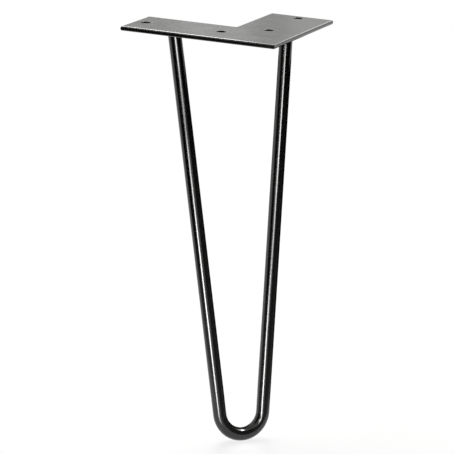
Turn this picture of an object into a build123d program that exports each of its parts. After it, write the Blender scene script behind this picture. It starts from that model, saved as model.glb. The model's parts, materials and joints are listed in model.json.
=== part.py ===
from build123d import *
import math
import os

# Hairpin table leg: one round bar bent into a hairpin, with both ends welded under a flat L-shaped plate.
# Millimetres, +Z up. The origin is on the plate's top face, where the centre lines of the two arms cross.
# The left arm runs along -X and the right arm along +Y, so the outer corner of the L points to +X and -Y.

# Plate
arm_length = 120.7  # from the outer edge of one arm to the end of the other
arm_width = 50.0
plate_thickness = 3.4
notch_radius = 1.0  # inner corner of the outline
edge_radius = 1.3  # rounding along the edges of both faces

# Screw holes, two on each arm's centre line
hole_diameter = 7.0
hole_pitch = 60.0
hole_end_distance = 9.0  # from the outer hole's centre to the end of the arm
hole_edge_break = 0.3

# Bar
rod_diameter = 10.0
overall_height = 305.0  # from the plate's top face to the lowest point of the foot
bend_radius = 17.5  # of the bar's centre line, at the foot
seat_shift = 7.0  # from midway between an arm's holes to the bar's centre, towards the arm's end
foot_inset = 16.0  # from the plate's two outer edges in to the middle of the foot

# Fillet welds round the bar's ends
weld_leg = 3.5  # width on the plate and height on the bar
weld_crown = 0.5  # how far the bead's middle swells past a flat bevel
weld_toe = 0.4  # thickness of the bead where it runs out on the bar
weld_bands = 3  # bevelled bands that make up the convex face

# Places that follow from the sizes
arm_axis = arm_width / 2
arm_reach = arm_length - arm_axis
outer_hole = arm_reach - hole_end_distance
inner_hole = outer_hole - hole_pitch
seat = (inner_hole + outer_hole) / 2 + seat_shift
underside = -plate_thickness
rod_radius = rod_diameter / 2
left_seat = Vector(-seat, 0, underside)
right_seat = Vector(0, seat, underside)
foot = Vector(arm_axis - foot_inset, foot_inset - arm_axis, rod_radius - overall_height)


def mounting_plate():
    """The L cut from sheet, with its edges rounded and its four holes."""
    left_arm = Pos((arm_axis - arm_reach) / 2, 0) * Rectangle(arm_length, arm_width)
    right_arm = Pos(0, (arm_reach - arm_axis) / 2) * Rectangle(arm_width, arm_length)
    outline = left_arm + right_arm
    notch = outline.vertices().sort_by_distance((-arm_axis, arm_axis))[0]
    outline = fillet(notch, notch_radius)
    plate = extrude(outline, amount=underside)
    plate = fillet(plate.faces().filter_by(Axis.Z).edges(), edge_radius)
    for distance in (inner_hole, outer_hole):
        for centre in (Pos(-distance, 0, underside / 2), Pos(0, distance, underside / 2)):
            plate -= centre * Cylinder(hole_diameter / 2, plate_thickness)
    rims = plate.edges().filter_by(lambda edge: edge.geom_type == GeomType.CIRCLE and edge.is_closed)
    return chamfer(rims, hole_edge_break)


def hairpin_centre_line():
    """Two straight runs tangent to the bend, in one leaning plane, drawn past the plate's underside."""
    middle = (left_seat + right_seat) / 2
    across = (right_seat - left_seat).normalized()
    rising = (middle - foot).normalized()
    hairpin_plane = Plane(origin=foot, x_dir=across, z_dir=across.cross(rising))
    half_span = (right_seat - left_seat).length / 2
    height_over_bend = (middle - foot).length - bend_radius
    reach = math.hypot(half_span, height_over_bend)
    lean = math.degrees(math.acos(bend_radius / reach) - math.atan2(height_over_bend, half_span))
    run = math.sqrt(reach**2 - bend_radius**2) + rod_diameter
    bend = CenterArc((0, bend_radius), bend_radius, 180 + lean, 180 - 2 * lean)
    left_run = Line(bend @ 0 - (bend % 0) * run, bend @ 0)
    right_run = Line(bend @ 1, bend @ 1 + (bend % 1) * run)
    return hairpin_plane * Wire([left_run, bend, right_run])


def hairpin_rod(centre_line):
    """The bar, swept along its centre line and cut flush with the plate's underside."""
    section = Plane(origin=centre_line @ 0, z_dir=centre_line % 0) * Circle(rod_radius)
    bar = sweep(section, path=centre_line)
    return split(bar, Plane.XY.offset(underside), keep=Keep.BOTTOM)


def weld_bead(rod, seat_point, downwards):
    """The slightly convex bead round one end of the bar, from the plate's underside to the bar's side."""
    slope = downwards / -downwards.Z
    slanted_radius = rod_radius * slope.length
    level = Plane(origin=seat_point, x_dir=(slope.X, slope.Y, 0), z_dir=(0, 0, 1))

    def section(share):
        swell = weld_crown * 4 * share * (1 - share)
        growth = weld_leg + (weld_toe - weld_leg) * share + swell
        outline = Ellipse(slanted_radius + growth, rod_radius + growth)
        return Pos(slope * weld_leg * share) * (level * outline)

    bead = loft([section(band / weld_bands) for band in range(weld_bands + 1)], ruled=True)
    return bead - rod


centre_line = hairpin_centre_line()
rod = hairpin_rod(centre_line)
nodes = {
    "mounting_plate": mounting_plate(),
    "hairpin_rod": rod,
    "left_weld": weld_bead(rod, left_seat, centre_line % 0),
    "right_weld": weld_bead(rod, right_seat, -(centre_line % 1)),
}

os.makedirs("parts", exist_ok=True)
for name, solid in nodes.items():
    export_step(solid, f"parts/{name}.step")
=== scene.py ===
"""Looks of a hairpin table leg: an L-shaped plate, a bar bent into a hairpin and two weld beads."""

import json
import math
from typing import NamedTuple

import bmesh
import bpy
from bpy.props import FloatProperty, FloatVectorProperty, IntProperty, PointerProperty
from mathutils import Matrix, Vector


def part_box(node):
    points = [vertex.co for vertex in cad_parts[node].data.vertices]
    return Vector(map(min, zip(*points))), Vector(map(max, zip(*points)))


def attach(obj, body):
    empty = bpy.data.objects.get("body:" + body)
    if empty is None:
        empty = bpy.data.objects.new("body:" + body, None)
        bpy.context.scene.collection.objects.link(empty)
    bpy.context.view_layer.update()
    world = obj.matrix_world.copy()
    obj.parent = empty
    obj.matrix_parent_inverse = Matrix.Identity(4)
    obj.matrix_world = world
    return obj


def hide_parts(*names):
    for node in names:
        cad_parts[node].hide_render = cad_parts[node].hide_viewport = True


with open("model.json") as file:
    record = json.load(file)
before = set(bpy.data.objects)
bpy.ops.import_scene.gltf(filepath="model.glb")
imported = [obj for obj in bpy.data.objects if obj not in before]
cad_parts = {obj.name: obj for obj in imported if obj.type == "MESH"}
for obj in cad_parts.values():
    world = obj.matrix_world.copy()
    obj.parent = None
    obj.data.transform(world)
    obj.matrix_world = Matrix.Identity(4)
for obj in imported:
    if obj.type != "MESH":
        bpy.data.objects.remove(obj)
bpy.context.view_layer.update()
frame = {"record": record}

bl_info = {
    "name": "Hairpin table leg",
    "version": (1, 0, 0),
    "blender": (4, 5, 0),
    "location": "View3D > Sidebar > Hairpin leg",
    "description": "Models a powder-coated hairpin table leg over its packed frame",
    "category": "Object",
}

MM = 0.001
UP = Vector((0, 0, 1))
LEFT_ARM = Vector((-1, 0, 0))
RIGHT_ARM = Vector((0, 1, 0))
WHITE = (1.0, 1.0, 1.0, 1.0)

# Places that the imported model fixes
plate_low, plate_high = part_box("mounting_plate")
mounts = {mount["name"]: mount for mount in frame["record"]["mounts"]}
screws = mounts["left_arm_screws"]
foot_point = Vector(mounts["foot"]["pos_m"])

# How finely round shapes are divided
BAR_SIDES = 72
BEND_STEPS = 64
RUN_CUTS = 20
HALF_HOLE_STEPS = 24
NOTCH_STEPS = 6
EDGE_STEPS = 6
RIM_STEPS = 3
BEAD_BANDS = 8
RIPPLE_STEPS = 8
SCREEN_STEPS = 24

# How edges are found and shaded
CLOSE = 0.01 * MM  # places on the plate that are nearer than this are one
BEAD_CLOSE = 0.001 * MM  # the same on a weld bead
CUT_EDGE = math.radians(45)  # the cut sheet's edges turn by more than this
SHARP_EDGE = math.radians(30)  # edges that turn by more than this are shaded sharp
RIM_REACH = 1.1  # a hole's rim is within this many radii of its centre
FLAT_FACE_WEIGHT = 100  # gives the shading at a corner to its largest face

RIPPLE_BOW = 1.6  # how far a weld ripple trails at the bead's two toes, in radians of its wave

# Powder coat: its roughness, and how far apart and how high its orange peel and its broad swells are
SHEET_COAT = {
    "roughness": 0.16,
    "peel_mm": 1.8,
    "peel_height_mm": 0.003,
    "swell_mm": 45.0,
    "swell_height_mm": 0.06,
}
BAR_COAT = {
    "roughness": 0.15,
    "peel_mm": 1.6,
    "peel_height_mm": 0.005,
    "swell_mm": 30.0,
    "swell_height_mm": 0.01,
}
WELD_COAT = {
    "roughness": 0.24,
    "peel_mm": 1.2,
    "peel_height_mm": 0.01,
    "swell_mm": 6.0,
    "swell_height_mm": 0.02,
}
COAT_IOR = 1.6
COAT_FLOW_MM = 18.0  # how far apart its thicker and thinner stretches are
THICK_COAT_SHINE = 0.02  # taken from the roughness where it lies thick
THIN_COAT_DULLNESS = 0.03  # added to the roughness where it lies thin
NOISE_LOW, NOISE_HIGH = 0.3, 0.7  # nearly all of a noise texture's values lie between these

# Stage: brightness of the floor and the backdrop, where 1 is white
FLOOR_NEAR, FLOOR_FAR = 0.3, 1.2  # metres from the leg between which the floor turns white
FLOOR_NEAR_GLOW, FLOOR_FAR_GLOW = 0.82, 1.0
BACKDROP_LIGHT = 0.3  # what the backdrop sheds as light
BACKDROP_SEEN = 1.0  # what the eye and reflections see of it

# Camera
SENSOR_WIDTH = 36.0  # millimetres
CAMERA_REACH = 100.0  # metres

# Cloths of the stage, seen only in reflections: the share of what is behind them that they cover at the
# floor, the share higher up, and that height in metres. Where the cover falls towards the floor, more of
# the backdrop shows in the bar's reflections low down.
# This felt covers less near the floor, which lets more backdrop into the bar's reflections there. It is
# not worn.
OPEN_LOW_FELT = "black felt, open low down"
THIN_FELT = "black felt, thin low down"
FELT = "black felt on card"
GAUZE = "black gauze"
CLOTHS = {
    OPEN_LOW_FELT: (0.45, 1.0, 0.12),
    THIN_FELT: (0.78, 1.0, 0.30),
    FELT: (1.0, 1.0, 0.30),
    GAUZE: (0.38, 0.38, 0.30),
}

# The grey paper glows by itself and shows only in reflections. It is a painted reflection on the plate
# that no lamp lights.
PAPER = "glowing grey paper"
PAPER_SHARE = 0.75  # of the backdrop's brightness
PAPER_CLOUDS_MM = 60.0
PAPER_CLOUDING = 0.02  # how much its clouds add or take


class Screen(NamedTuple):
    """A curved screen round the leg, in metres and in degrees from the camera's side to its right."""

    name: str
    material: str
    start: float
    end: float
    distance: float
    low: float
    high: float


SCREENS = (
    Screen("left_flag", OPEN_LOW_FELT, -82.0, -30.0, 0.22, 0.0, 0.36),
    Screen("right_flag", THIN_FELT, 22.0, 110.0, 0.22, 0.0, 0.36),
    Screen("back_flag", FELT, 110.0, 204.0, 0.11, 0.0, 0.272),
    Screen("front_net", GAUZE, -60.0, -14.0, 0.14, 0.228, 0.292),
    Screen("left_paper", PAPER, 184.0, 205.0, 1.2, 0.44, 0.62),
    Screen("right_paper", PAPER, 177.7, 179.9, 1.2, 0.44, 0.62),
)


class Lamp(NamedTuple):
    """A rectangular lamp round the leg, placed as a screen is. It faces a height on the leg, its aim."""

    name: str
    degrees: float
    distance: float
    height: float
    aim: float
    width: float
    length: float
    radiance: float
    in_reflections: bool = True
    on_matt_faces: bool = True


LAMPS = (
    Lamp("soft key", -151.0, 0.48, 1.2, 0.15, 0.45, 0.45, 16.0, in_reflections=False),
    Lamp("rim strip", 187.0, 1.2, 1.3, 0.3, 0.4, 0.95, 14.0),
    Lamp("back bank", 160.0, 1.2, 0.79, 0.3, 0.5, 0.32, 2.4),
    Lamp("top lamp", 135.0, 0.85, 1.15, 0.02, 0.7, 0.35, 28.0, on_matt_faces=False),
    Lamp("spot lamp", 107.0, 0.63, 1.15, 0.02, 0.45, 0.28, 52.0, on_matt_faces=False),
)

# The strip light's course: metres to the right, towards the camera and off the floor, and its radiance
STRIP_COURSE = (
    (-0.012, 0.06, 0.003, 5.5),
    (-0.045, 0.20, 0.003, 11.5),
    (-0.090, 0.33, 0.004, 22.0),
    (-0.140, 0.50, 0.085, 30.0),
    (-0.130, 0.50, 0.165, 22.0),
    (-0.120, 0.50, 0.195, 14.5),
    (-0.120, 1.00, 0.280, 9.8),
    (-0.090, 1.00, 0.310, 10.6),
    (-0.040, 1.00, 0.350, 13.2),
    (0.000, 1.00, 0.390, 18.0),
    (0.030, 1.00, 0.430, 25.0),
    (0.060, 1.00, 0.480, 18.0),
    (0.100, 1.00, 0.540, 12.5),
    (0.000, 1.00, 0.580, 13.0),
    (-0.150, 1.00, 0.620, 22.0),
    (-0.200, 1.00, 0.680, 18.0),
)
STRIP_SPREAD = 0.14  # half its width, as a share of its distance from the leg


def linear(hex_colour):
    """Turns an sRGB hex value into the linear colour that shaders and lamps take."""
    channels = [int(hex_colour[place : place + 2], 16) / 255 for place in (1, 3, 5)]
    return [c / 12.92 if c <= 0.04045 else ((c + 0.055) / 1.055) ** 2.4 for c in channels]


def length(name, description, default):
    """A length in metres that a user can set."""
    return FloatProperty(
        name=name, description=description, default=default, min=0.0, precision=5, unit="LENGTH"
    )


def angle(name, description, degrees):
    """An angle that a user can set."""
    return FloatProperty(
        name=name, description=description, default=math.radians(degrees), unit="ROTATION"
    )


def colour(name, description, hex_colour):
    """A colour that a user can set."""
    return FloatVectorProperty(
        name=name,
        description=description,
        default=linear(hex_colour),
        size=3,
        min=0.0,
        max=1.0,
        subtype="COLOR",
    )


class PlateSizes(bpy.types.PropertyGroup):
    """Sizes of the L-shaped plate."""

    arm_length: length(
        "Arm length",
        "From the outer edge of one arm to the end of the other",
        plate_high.x - plate_low.x,
    )
    arm_width: length("Arm width", "Width of both arms", 2 * plate_high.x)
    thickness: length("Thickness", "Thickness of the sheet", plate_high.z - plate_low.z)
    notch_radius: length("Notch radius", "Radius of the outline's inner corner", 1.0 * MM)
    edge_radius: length("Edge radius", "Rounding along the edges of both faces", 1.3 * MM)
    hole_radius: length("Hole radius", "Radius of the screw holes", screws["dims"]["hole_r_mm"] * MM)
    hole_pitch: length(
        "Hole pitch", "Distance between an arm's two holes", screws["dims"]["spacing_x_mm"] * MM
    )
    hole_middle: length(
        "Hole middle",
        "From the plate's origin to midway between an arm's holes",
        Vector(screws["pos_m"]).length,
    )
    rim_radius: length("Rim radius", "Rounding of the holes' rims", 0.15 * MM)


class BarSizes(bpy.types.PropertyGroup):
    """Sizes of the bent bar."""

    diameter: length("Diameter", "Diameter of the round bar", 10.0 * MM)
    bend_radius: length("Bend radius", "Radius of the bend, to the bar's centre line", 17.5 * MM)
    seat_shift: length(
        "Seat shift", "From midway between an arm's holes out to the bar's centre", 7.0 * MM
    )


class BeadSizes(bpy.types.PropertyGroup):
    """Sizes of the weld beads."""

    leg: length("Leg", "Width on the plate and height on the bar", 3.5 * MM)
    crown: length("Crown", "How far the bead's middle swells past a flat bevel", 0.5 * MM)
    toe: length("Toe", "Thickness of the bead where it runs out on the bar", 0.15 * MM)
    ripple_height: length("Ripple height", "Height of the ripples across the bead", 0.16 * MM)
    ripples: IntProperty(name="Ripples", description="Ripples round one bead", default=26, min=3)


class FinishColours(bpy.types.PropertyGroup):
    """Colours of the coat and of the stage."""

    coat: colour("Coat", "The powder coat", "#0b0b0a")
    coat_thin: colour("Thin coat", "The powder coat where it flowed thinner", "#11110f")
    floor: colour("Floor", "The stage's painted floor", "#f4f4f2")
    backdrop: colour("Backdrop", "The pale paper all round the stage", "#e1e1df")
    cloth: colour("Cloth", "The black cloth of the screens round the leg", "#060606")


class StageSizes(bpy.types.PropertyGroup):
    """Where the camera stands, how it looks, and the size of the floor."""

    camera_place: FloatVectorProperty(
        name="Camera",
        description="Where the camera stands",
        default=(0.68246, -1.74710, 0.34743),
        unit="LENGTH",
    )
    azimuth: angle("Azimuth", "Turn of the camera round the leg", 21.753)
    elevation: angle("Elevation", "How far the camera looks down", 14.68)
    roll: angle("Roll", "Turn of the camera about its own axis", 2.78)
    lens: FloatProperty(
        name="Lens",
        description="Focal length in millimetres, on a 36 mm sensor",
        default=208.55,
        min=1.0,
    )
    floor_size: length("Floor size", "Side of the square floor", 24.0)


def add_node(tree, kind, settings=None, **sockets):
    """Adds one node, sets its fields and input sockets, and links each socket that is given an output.

    A socket goes by its name, with _ for each space, or by _ and its number.
    """
    node = tree.nodes.new(kind)
    for field, value in (settings or {}).items():
        setattr(node, field, value)
    for name, value in sockets.items():
        number = name[1:]
        socket = node.inputs[int(number) if number.isdigit() else name.replace("_", " ")]
        if isinstance(value, bpy.types.NodeSocket):
            tree.links.new(value, socket)
        else:
            socket.default_value = value
    return node


def per_metre(millimetres):
    """Scale of a pattern whose features are this far apart."""
    return 1 / (millimetres * MM)


def new_material(name):
    """Adds a material by name, and gives it with its empty node tree."""
    material = bpy.data.materials.new(name)
    material.use_nodes = True
    material.node_tree.nodes.clear()
    return material, material.node_tree


def powder_coat(name, colours, roughness, peel_mm, peel_height_mm, swell_mm, swell_height_mm):
    """Black polyester powder, sprayed on dry and melted to a skin in the oven.

    The skin is a glossy satin dielectric over near-black pigment. It draws together into orange peel
    while it flows, follows the broader swells of the steel under it, and cures a little shinier where it
    lies thicker.
    """
    material, tree = new_material(name)
    place = add_node(tree, "ShaderNodeTexCoord").outputs["Object"]
    flow = add_node(tree, "ShaderNodeTexNoise", Vector=place, Scale=per_metre(COAT_FLOW_MM), Detail=2.0)
    peel = add_node(
        tree, "ShaderNodeTexNoise", Vector=place, Scale=per_metre(peel_mm), Detail=1.0, Roughness=0.35
    )
    swell = add_node(tree, "ShaderNodeTexNoise", Vector=place, Scale=per_metre(swell_mm), Detail=0.0)
    tint = add_node(
        tree,
        "ShaderNodeMix",
        {"data_type": "RGBA"},
        _0=flow.outputs["Fac"],
        _6=[*colours.coat, 1.0],
        _7=[*colours.coat_thin, 1.0],
    )
    gloss = add_node(
        tree,
        "ShaderNodeMapRange",
        Value=flow.outputs["Fac"],
        From_Min=NOISE_LOW,
        From_Max=NOISE_HIGH,
        To_Min=roughness - THICK_COAT_SHINE,
        To_Max=roughness + THIN_COAT_DULLNESS,
    )
    broad = add_node(
        tree, "ShaderNodeBump", Strength=1.0, Distance=swell_height_mm * MM, Height=swell.outputs["Fac"]
    )
    skin = add_node(
        tree,
        "ShaderNodeBump",
        Strength=1.0,
        Distance=peel_height_mm * MM,
        Height=peel.outputs["Fac"],
        Normal=broad.outputs["Normal"],
    )
    shader = add_node(
        tree,
        "ShaderNodeBsdfPrincipled",
        Base_Color=tint.outputs["Result"],
        Roughness=gloss.outputs["Result"],
        IOR=COAT_IOR,
        Normal=skin.outputs["Normal"],
    )
    add_node(tree, "ShaderNodeOutputMaterial", Surface=shader.outputs["BSDF"])
    return material


def finished_piece(name, bm, coat, node):
    """Turns a bmesh into a smooth-shaded piece that stands for a CAD node."""
    bmesh.ops.recalc_face_normals(bm, faces=bm.faces)
    for face in bm.faces:
        face.smooth = True
    mesh = bpy.data.meshes.new(name)
    bm.to_mesh(mesh)
    bm.free()
    mesh.materials.append(coat)
    piece = bpy.data.objects.new(name, mesh)
    bpy.context.scene.collection.objects.link(piece)
    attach(piece, "root")
    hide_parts(node)
    return piece


def shade_flat_faces(piece, keep_sharp):
    """Lets large faces shade flat beside their roundings, and keeps sharp edges where asked to."""
    shading = piece.modifiers.new("Flat faces", "WEIGHTED_NORMAL")
    shading.weight = FLAT_FACE_WEIGHT
    shading.keep_sharp = keep_sharp


def draw_to(bm, vert, place):
    """Extrudes a vertex to a place and gives the new vertex."""
    end = bmesh.ops.extrude_vert_indiv(bm, verts=[vert])["verts"][0]
    bmesh.ops.translate(bm, verts=[end], vec=place - end.co)
    return end


def draw_half_hole(bm, vert, centre, turn):
    """Spins a vertex round a hole's centre and gives the last vertex of the arc."""
    spun = bmesh.ops.spin(bm, geom=[vert], cent=centre, axis=UP, angle=turn, steps=HALF_HOLE_STEPS)
    return next(item for item in spun["geom_last"] if isinstance(item, bmesh.types.BMVert))


def half_sheet(bm, sizes, rim, turn):
    """Draws the half of the L on one side of the arms' centre lines, with its halves of the holes.

    Gives the vertices at the corners of its rim.
    """
    reach = sizes.arm_length - sizes.arm_width / 2
    inner = sizes.hole_middle - sizes.hole_pitch / 2
    outer = sizes.hole_middle + sizes.hole_pitch / 2
    radius = sizes.hole_radius
    first = bm.verts.new(LEFT_ARM * reach)
    vert = first
    corners = []
    for place in rim:
        vert = draw_to(bm, vert, Vector(place))
        corners.append(vert)
    vert = draw_to(bm, vert, RIGHT_ARM * reach)
    for hole in (outer, inner):
        vert = draw_to(bm, vert, RIGHT_ARM * (hole + radius))
        vert = draw_half_hole(bm, vert, RIGHT_ARM * hole, turn)
    vert = draw_to(bm, vert, Vector())
    for hole in (inner, outer):
        vert = draw_to(bm, vert, LEFT_ARM * (hole - radius))
        vert = draw_half_hole(bm, vert, LEFT_ARM * hole, turn)
    bmesh.ops.contextual_create(bm, geom=[vert, first])
    loose = [edge for edge in bm.edges if not edge.link_faces]
    bmesh.ops.contextual_create(bm, geom=loose)
    return corners


def cut_edges(bm, sizes):
    """Finds the edges of the sheet's two faces: those round the holes, and those of the outline."""
    holes = [
        arm * (sizes.hole_middle + side * sizes.hole_pitch / 2)
        for arm in (LEFT_ARM, RIGHT_ARM)
        for side in (-1, 1)
    ]
    rims, outline = [], []
    for edge in bm.edges:
        start, end = (vert.co for vert in edge.verts)
        if abs(start.z - end.z) > CLOSE or edge.calc_face_angle() < CUT_EDGE:
            continue
        middle = (start + end) / 2
        near = min((middle.xy - hole.xy).length for hole in holes)
        (rims if near < sizes.hole_radius * RIM_REACH else outline).append(edge)
    return rims, outline


def round_over(bm, geom, radius, segments, affect):
    """Rounds edges or corners with a bevel of circular section."""
    bmesh.ops.bevel(
        bm, geom=geom, offset=radius, segments=segments, profile=0.5, affect=affect, material=-1
    )


class LEG_OT_plate(bpy.types.Operator):
    """Models the L-shaped plate with its screw holes"""

    bl_idname = "hairpin_leg.plate"
    bl_label = "Plate"

    def execute(self, context):
        sizes = context.scene.leg_plate
        half = sizes.arm_width / 2
        reach = sizes.arm_length - half
        outer_rim = [(-reach, -half, 0), (half, -half, 0), (half, reach, 0)]
        inner_rim = [(-reach, half, 0), (-half, half, 0), (-half, reach, 0)]
        bm = bmesh.new()
        half_sheet(bm, sizes, outer_rim, -math.pi)
        notch = half_sheet(bm, sizes, inner_rim, math.pi)[1]
        round_over(bm, [notch], sizes.notch_radius, NOTCH_STEPS, "VERTICES")
        bmesh.ops.remove_doubles(bm, verts=bm.verts, dist=CLOSE)
        grown = bmesh.ops.extrude_face_region(bm, geom=bm.faces[:])["geom"]
        lower = [item for item in grown if isinstance(item, bmesh.types.BMVert)]
        bmesh.ops.translate(bm, verts=lower, vec=-UP * sizes.thickness)
        bmesh.ops.recalc_face_normals(bm, faces=bm.faces)
        rims, outline = cut_edges(bm, sizes)
        round_over(bm, rims, sizes.rim_radius, RIM_STEPS, "EDGES")
        round_over(bm, outline, sizes.edge_radius, EDGE_STEPS, "EDGES")
        # The plate's upright corners and the mitres of its rounded edges stay crisp
        for edge in bm.edges:
            edge.smooth = edge.calc_face_angle() < SHARP_EDGE
        coat = powder_coat("black powder coat on cut sheet", context.scene.leg_colours, **SHEET_COAT)
        piece = finished_piece("coated_plate", bm, coat, "mounting_plate")
        shade_flat_faces(piece, keep_sharp=True)
        return {"FINISHED"}


def hairpin_path(plate, bar):
    """Works out the bar's way: its bend's centre, axis and turn, and the seat and way of each run."""
    seat = plate.hole_middle + bar.seat_shift
    left_seat = LEFT_ARM * seat - UP * plate.thickness
    right_seat = RIGHT_ARM * seat - UP * plate.thickness
    lowest = foot_point + UP * bar.diameter / 2
    middle = (left_seat + right_seat) / 2
    across = (right_seat - left_seat).normalized()
    rising = (middle - lowest).normalized()
    centre = lowest + rising * bar.bend_radius
    half_span = (right_seat - left_seat).length / 2
    height = (middle - centre).length
    reach = math.hypot(half_span, height)
    lean = math.acos(bar.bend_radius / reach) - math.atan2(height, half_span)
    return {
        "centre": centre,
        "axis": across.cross(rising),
        "turn": math.pi - 2 * lean,
        "left": {"seat": left_seat, "down": across * math.sin(lean) - rising * math.cos(lean)},
        "right": {"seat": right_seat, "down": -across * math.sin(lean) - rising * math.cos(lean)},
        "run": math.sqrt(reach**2 - bar.bend_radius**2),
    }


def drawn_run(bm, ring, way):
    """Extrudes the bar's round section straight along a way, and gives the ring at the far end."""
    drawn = bmesh.ops.extrude_edge_only(bm, edges=ring)["geom"]
    verts = [item for item in drawn if isinstance(item, bmesh.types.BMVert)]
    bmesh.ops.translate(bm, verts=verts, vec=way)
    edges = [item for item in drawn if isinstance(item, bmesh.types.BMEdge)]
    return [edge for edge in edges if edge.is_boundary]


class LEG_OT_bar(bpy.types.Operator):
    """Models the round bar, bent into a hairpin and cut flush under the plate"""

    bl_idname = "hairpin_leg.bar"
    bl_label = "Bar"

    def execute(self, context):
        bar = context.scene.leg_bar
        path = hairpin_path(context.scene.leg_plate, bar)
        left, right = path["left"], path["right"]
        # Both runs are drawn past the plate's underside, and then cut off there
        spare = bar.diameter
        run = path["run"] + spare
        bm = bmesh.new()
        start = Matrix.Translation(left["seat"] - left["down"] * spare)
        section = start @ left["down"].to_track_quat("Z", "Y").to_matrix().to_4x4()
        bmesh.ops.create_circle(bm, radius=bar.diameter / 2, segments=BAR_SIDES, matrix=section)
        ring = drawn_run(bm, bm.edges[:], left["down"] * run)
        bend = bmesh.ops.spin(
            bm, geom=ring, cent=path["centre"], axis=path["axis"], angle=path["turn"], steps=BEND_STEPS
        )
        ring = [item for item in bend["geom_last"] if isinstance(item, bmesh.types.BMEdge)]
        drawn_run(bm, ring, right["down"] * -run)
        long_edges = [edge for edge in bm.edges if edge.calc_length() > path["run"] / 2]
        bmesh.ops.subdivide_edges(bm, edges=long_edges, cuts=RUN_CUTS, use_grid_fill=True)
        bmesh.ops.bisect_plane(
            bm,
            geom=[*bm.verts, *bm.edges, *bm.faces],
            plane_co=left["seat"],
            plane_no=UP,
            clear_outer=True,
        )
        ends = [edge for edge in bm.edges if edge.is_boundary]
        bmesh.ops.holes_fill(bm, edges=ends, sides=0)
        coat = powder_coat("black powder coat on drawn bar", context.scene.leg_colours, **BAR_COAT)
        piece = finished_piece("coated_bar", bm, coat, "hairpin_rod")
        shade_flat_faces(piece, keep_sharp=False)
        return {"FINISHED"}


def weld_bead(name, bead, bar, end, coat, node):
    """Spins a bead's section round a bar's end, ripples it, and slants it with the bar."""
    radius = bar.diameter / 2
    inside = radius - bead.toe
    bm = bmesh.new()
    first = bm.verts.new((inside, 0, 0))
    vert = draw_to(bm, first, Vector((radius + bead.leg, 0, 0)))
    for band in range(1, BEAD_BANDS + 1):
        share = band / BEAD_BANDS
        swell = bead.crown * 4 * share * (1 - share)
        growth = bead.leg + (bead.toe - bead.leg) * share + swell
        vert = draw_to(bm, vert, Vector((radius + growth, 0, -bead.leg * share)))
    vert = draw_to(bm, vert, Vector((inside, 0, -bead.leg)))
    bmesh.ops.contextual_create(bm, geom=[vert, first])
    bmesh.ops.spin(
        bm,
        geom=bm.edges[:],
        cent=(0, 0, 0),
        axis=UP,
        angle=math.tau,
        steps=bead.ripples * RIPPLE_STEPS,
        use_merge=True,
    )
    bmesh.ops.remove_doubles(bm, verts=bm.verts, dist=BEAD_CLOSE)
    for vert in bm.verts:
        share = -vert.co.z / bead.leg
        outwards = Vector((vert.co.x, vert.co.y, 0))
        if outwards.length < radius or not 0 < share < 1:
            continue
        around = math.atan2(vert.co.y, vert.co.x)
        bow = RIPPLE_BOW * (2 * share - 1) ** 2
        ripple = math.sin(bead.ripples * around + bow) * math.sin(math.pi * share)
        vert.co += outwards.normalized() * bead.ripple_height * (ripple - 1) / 2
    slope = end["down"] / -end["down"].z
    slant = Matrix.Identity(4)
    slant[0][2] = -slope.x
    slant[1][2] = -slope.y
    stretch = Matrix.Scale(slope.length, 4, Vector((slope.x, slope.y, 0)).normalized())
    bmesh.ops.transform(bm, verts=bm.verts, matrix=Matrix.Translation(end["seat"]) @ slant @ stretch)
    finished_piece(name, bm, coat, node)


class LEG_OT_beads(bpy.types.Operator):
    """Models the rippled weld beads round both ends of the bar"""

    bl_idname = "hairpin_leg.beads"
    bl_label = "Weld beads"

    def execute(self, context):
        scene = context.scene
        path = hairpin_path(scene.leg_plate, scene.leg_bar)
        coat = powder_coat("black powder coat on weld", scene.leg_colours, **WELD_COAT)
        for side in ("left", "right"):
            weld_bead(f"{side}_bead", scene.leg_bead, scene.leg_bar, path[side], coat, f"{side}_weld")
        return {"FINISHED"}


def seen_directly(tree):
    """Gives 1 for rays that show a surface to the eye or in a reflection, and 0 for rays of light."""
    path = add_node(tree, "ShaderNodeLightPath").outputs
    mirror = add_node(
        tree, "ShaderNodeMath", {"operation": "ADD"}, _0=path["Is Camera Ray"], _1=path["Is Glossy Ray"]
    )
    both = add_node(
        tree,
        "ShaderNodeMath",
        {"operation": "ADD", "use_clamp": True},
        _0=mirror.outputs["Value"],
        _1=path["Is Transmission Ray"],
    )
    return both.outputs["Value"]


def painted_floor(colours):
    """Matt white paint on a smooth floor, which looks as bright as a lit white sweep and keeps a shadow.

    Seen from below it isn't there, so that the leg's underside can be looked at.
    """
    material, tree = new_material("white paint on a smooth floor")
    place = add_node(tree, "ShaderNodeTexCoord").outputs["Object"]
    away = add_node(tree, "ShaderNodeVectorMath", {"operation": "LENGTH"}, Vector=place)
    glow = add_node(
        tree,
        "ShaderNodeMapRange",
        {"interpolation_type": "SMOOTHSTEP"},
        Value=away.outputs["Value"],
        From_Min=FLOOR_NEAR,
        From_Max=FLOOR_FAR,
        To_Min=FLOOR_NEAR_GLOW,
        To_Max=FLOOR_FAR_GLOW,
    )
    shown = add_node(
        tree,
        "ShaderNodeMath",
        {"operation": "MULTIPLY"},
        _0=glow.outputs["Result"],
        _1=seen_directly(tree),
    )
    paint = add_node(tree, "ShaderNodeBsdfDiffuse", Color=[*colours.floor, 1.0])
    light = add_node(tree, "ShaderNodeEmission", Color=WHITE, Strength=1.0)
    lit = add_node(
        tree,
        "ShaderNodeMixShader",
        _0=shown.outputs["Value"],
        _1=paint.outputs["BSDF"],
        _2=light.outputs["Emission"],
    )
    below = add_node(tree, "ShaderNodeNewGeometry").outputs["Backfacing"]
    clear = add_node(tree, "ShaderNodeBsdfTransparent")
    both = add_node(
        tree, "ShaderNodeMixShader", _0=below, _1=lit.outputs["Shader"], _2=clear.outputs["BSDF"]
    )
    add_node(tree, "ShaderNodeOutputMaterial", Surface=both.outputs["Shader"])
    return material


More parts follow.
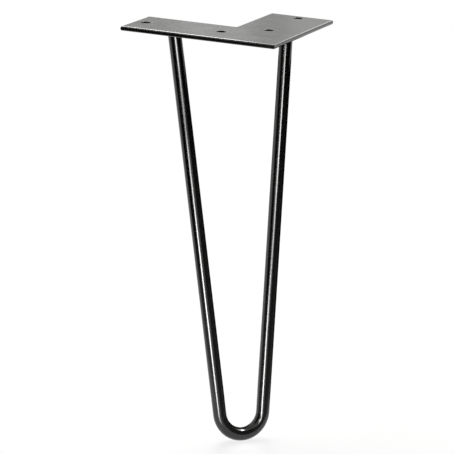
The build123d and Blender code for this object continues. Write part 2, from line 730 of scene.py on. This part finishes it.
def black_cloth(name, colours, cover_low, cover_high, height):
    """Black wool felt with a matt nap, or an open weave of black thread: a dull black with no shine.

    The cloth covers a share of what is behind it, which changes from the floor up to a height.
    """
    material, tree = new_material(name)
    place = add_node(tree, "ShaderNodeTexCoord").outputs["Object"]
    level = add_node(tree, "ShaderNodeSeparateXYZ", Vector=place).outputs["Z"]
    cover = add_node(
        tree,
        "ShaderNodeMapRange",
        Value=level,
        From_Min=foot_point.z,
        From_Max=foot_point.z + height,
        To_Min=cover_low,
        To_Max=cover_high,
    )
    thread = add_node(tree, "ShaderNodeBsdfDiffuse", Color=[*colours.cloth, 1.0], Roughness=1.0)
    gap = add_node(tree, "ShaderNodeBsdfTransparent")
    cloth = add_node(
        tree,
        "ShaderNodeMixShader",
        _0=cover.outputs["Result"],
        _1=gap.outputs["BSDF"],
        _2=thread.outputs["BSDF"],
    )
    add_node(tree, "ShaderNodeOutputMaterial", Surface=cloth.outputs["Shader"])
    return material


def glowing_paper(colours):
    """Grey paper that glows by itself and is seen only in reflections, at a share of the backdrop's
    brightness:
    a painted reflection that no lamp lights.

    Its glow lies in faint clouds, a little darker and lighter.
    """
    material, tree = new_material(PAPER)
    place = add_node(tree, "ShaderNodeTexCoord").outputs["Object"]
    clouds = add_node(
        tree, "ShaderNodeTexNoise", Vector=place, Scale=per_metre(PAPER_CLOUDS_MM), Detail=2.0
    )
    glow = add_node(
        tree,
        "ShaderNodeMapRange",
        Value=clouds.outputs["Fac"],
        From_Min=NOISE_LOW,
        From_Max=NOISE_HIGH,
        To_Min=PAPER_SHARE - PAPER_CLOUDING,
        To_Max=PAPER_SHARE + PAPER_CLOUDING,
    )
    light = add_node(
        tree, "ShaderNodeEmission", Color=[*colours.backdrop, 1.0], Strength=glow.outputs["Result"]
    )
    add_node(tree, "ShaderNodeOutputMaterial", Surface=light.outputs["Emission"])
    return material


def lit_opal():
    """Extruded opal sheet, milky all through and lit from behind, so it glows with no lamp showing."""
    material, tree = new_material("lit opal sheet")
    glow = add_node(tree, "ShaderNodeAttribute", {"attribute_name": "glow"})
    light = add_node(tree, "ShaderNodeEmission", Color=WHITE, Strength=glow.outputs["Fac"])
    add_node(tree, "ShaderNodeOutputMaterial", Surface=light.outputs["Emission"])
    return material


def stage_object(name, bm, material):
    """Turns a bmesh into an object of the stage."""
    mesh = bpy.data.meshes.new(name)
    bm.to_mesh(mesh)
    bm.free()
    mesh.materials.append(material)
    thing = bpy.data.objects.new(name, mesh)
    bpy.context.scene.collection.objects.link(thing)
    return thing


def show_in_reflections_only(thing):
    """Hides a thing from the eye, and keeps it from lighting or shading matt faces."""
    thing.visible_camera = False
    thing.visible_diffuse = False
    thing.visible_shadow = False


def around_leg(stage, degrees, distance, height):
    """A place round the leg: degrees from the camera's side to its right, and height off the floor."""
    turn = stage.azimuth + math.radians(degrees)
    return Vector((math.sin(turn) * distance, -math.cos(turn) * distance, foot_point.z + height))


def hang_screen(screen, stage, material):
    """Adds a curved screen of cloth or paper."""
    bm = bmesh.new()
    foot = bm.verts.new(around_leg(stage, screen.start, screen.distance, screen.low))
    draw_to(bm, foot, around_leg(stage, screen.start, screen.distance, screen.high))
    bmesh.ops.spin(
        bm,
        geom=bm.edges[:],
        cent=(0, 0, 0),
        axis=UP,
        angle=math.radians(screen.end - screen.start),
        steps=SCREEN_STEPS,
    )
    show_in_reflections_only(stage_object(screen.name, bm, material))


def hang_lamp(lamp, stage):
    """Adds a rectangular lamp of even brightness that faces the leg."""
    light = bpy.data.lights.new(lamp.name, "AREA")
    light.shape = "RECTANGLE"
    light.size = lamp.width
    light.size_y = lamp.length
    light.energy = lamp.radiance * math.pi * lamp.width * lamp.length
    softbox = bpy.data.objects.new(lamp.name, light)
    bpy.context.scene.collection.objects.link(softbox)
    place = around_leg(stage, lamp.degrees, lamp.distance, lamp.height)
    facing = around_leg(stage, 0, 0, lamp.aim) - place
    turn = facing.to_track_quat("-Z", "Y").to_matrix().to_4x4()
    softbox.matrix_world = Matrix.Translation(place) @ turn
    softbox.visible_camera = False
    softbox.visible_glossy = lamp.in_reflections
    softbox.visible_diffuse = lamp.on_matt_faces


def strip_light(stage):
    """Adds a curved sheet of lit opal before the leg, which gives the bar its long highlights."""
    bm = bmesh.new()
    brightness = bm.verts.layers.float.new("glow")
    rung = []
    for aside, before, height, radiance in STRIP_COURSE:
        below = rung
        rung = []
        for side in (-1, 1):
            across = aside + side * STRIP_SPREAD * before
            degrees = math.degrees(math.atan2(across, before))
            vert = bm.verts.new(around_leg(stage, degrees, math.hypot(across, before), height))
            vert[brightness] = radiance
            rung.append(vert)
        if below:
            bmesh.ops.contextual_create(bm, geom=[*below, *reversed(rung)])
    show_in_reflections_only(stage_object("strip_light", bm, lit_opal()))


def paper_backdrop(colours):
    """Pale paper all round, bright to the eye and in reflections, which sheds only a little light."""
    world = bpy.data.worlds.new("white studio")
    world.use_nodes = True
    tree = world.node_tree
    tree.nodes.clear()
    strength = add_node(
        tree,
        "ShaderNodeMapRange",
        Value=seen_directly(tree),
        To_Min=BACKDROP_LIGHT,
        To_Max=BACKDROP_SEEN,
    )
    sky = add_node(
        tree,
        "ShaderNodeBackground",
        Color=[*colours.backdrop, 1.0],
        Strength=strength.outputs["Result"],
    )
    add_node(tree, "ShaderNodeOutputWorld", Surface=sky.outputs["Background"])
    return world


def stage_camera(stage):
    """Adds the camera, turned round the leg, tilted down and rolled."""
    camera = bpy.data.objects.new("camera", bpy.data.cameras.new("camera"))
    bpy.context.scene.collection.objects.link(camera)
    camera.data.lens = stage.lens
    camera.data.sensor_width = SENSOR_WIDTH
    camera.data.clip_end = CAMERA_REACH
    turn = (
        Matrix.Rotation(stage.azimuth, 4, "Z")
        @ Matrix.Rotation(math.pi / 2 - stage.elevation, 4, "X")
        @ Matrix.Rotation(stage.roll, 4, "Z")
    )
    camera.matrix_world = Matrix.Translation(stage.camera_place) @ turn
    return camera


class LEG_OT_stage(bpy.types.Operator):
    """Sets up the floor, the screens, the lamps, the backdrop and the camera"""

    bl_idname = "hairpin_leg.stage"
    bl_label = "Stage"

    def execute(self, context):
        scene = context.scene
        stage = scene.leg_stage
        colours = scene.leg_colours
        scene.view_settings.view_transform = "Standard"
        bm = bmesh.new()
        floor_level = Matrix.Translation(UP * foot_point.z)
        bmesh.ops.create_grid(bm, size=stage.floor_size / 2, matrix=floor_level)
        stage_object("floor", bm, painted_floor(colours))
        materials = {name: black_cloth(name, colours, *cover) for name, cover in CLOTHS.items()}
        materials[PAPER] = glowing_paper(colours)
        for screen in SCREENS:
            hang_screen(screen, stage, materials[screen.material])
        for lamp in LAMPS:
            hang_lamp(lamp, stage)
        strip_light(stage)
        scene.world = paper_backdrop(colours)
        scene.camera = stage_camera(stage)
        return {"FINISHED"}


class LEG_PT_sidebar(bpy.types.Panel):
    """Lists the leg's pieces, sizes and colours"""

    bl_idname = "LEG_PT_sidebar"
    bl_label = "Hairpin leg"
    bl_space_type = "VIEW_3D"
    bl_region_type = "UI"
    bl_category = "Hairpin leg"

    def draw(self, context):
        for operator in OPERATORS:
            self.layout.operator(operator.bl_idname)
        for place, kind in GROUPS.items():
            box = self.layout.box()
            for field in kind.__annotations__:
                box.prop(getattr(context.scene, place), field)


GROUPS = {
    "leg_plate": PlateSizes,
    "leg_bar": BarSizes,
    "leg_bead": BeadSizes,
    "leg_colours": FinishColours,
    "leg_stage": StageSizes,
}
OPERATORS = (LEG_OT_plate, LEG_OT_bar, LEG_OT_beads, LEG_OT_stage)


def register():
    """Registers the classes and hangs the groups of sizes on the scene."""
    for kind in (*GROUPS.values(), *OPERATORS, LEG_PT_sidebar):
        bpy.utils.register_class(kind)
    for place, kind in GROUPS.items():
        setattr(bpy.types.Scene, place, PointerProperty(type=kind))


def unregister():
    """Takes the groups off the scene and unregisters the classes."""
    for place in GROUPS:
        delattr(bpy.types.Scene, place)
    for kind in reversed((*GROUPS.values(), *OPERATORS, LEG_PT_sidebar)):
        bpy.utils.unregister_class(kind)


def main():
    """Models the leg and its stage."""
    register()
    bpy.ops.hairpin_leg.plate()
    bpy.ops.hairpin_leg.bar()
    bpy.ops.hairpin_leg.beads()
    bpy.ops.hairpin_leg.stage()


if __name__ == "__main__":
    main()
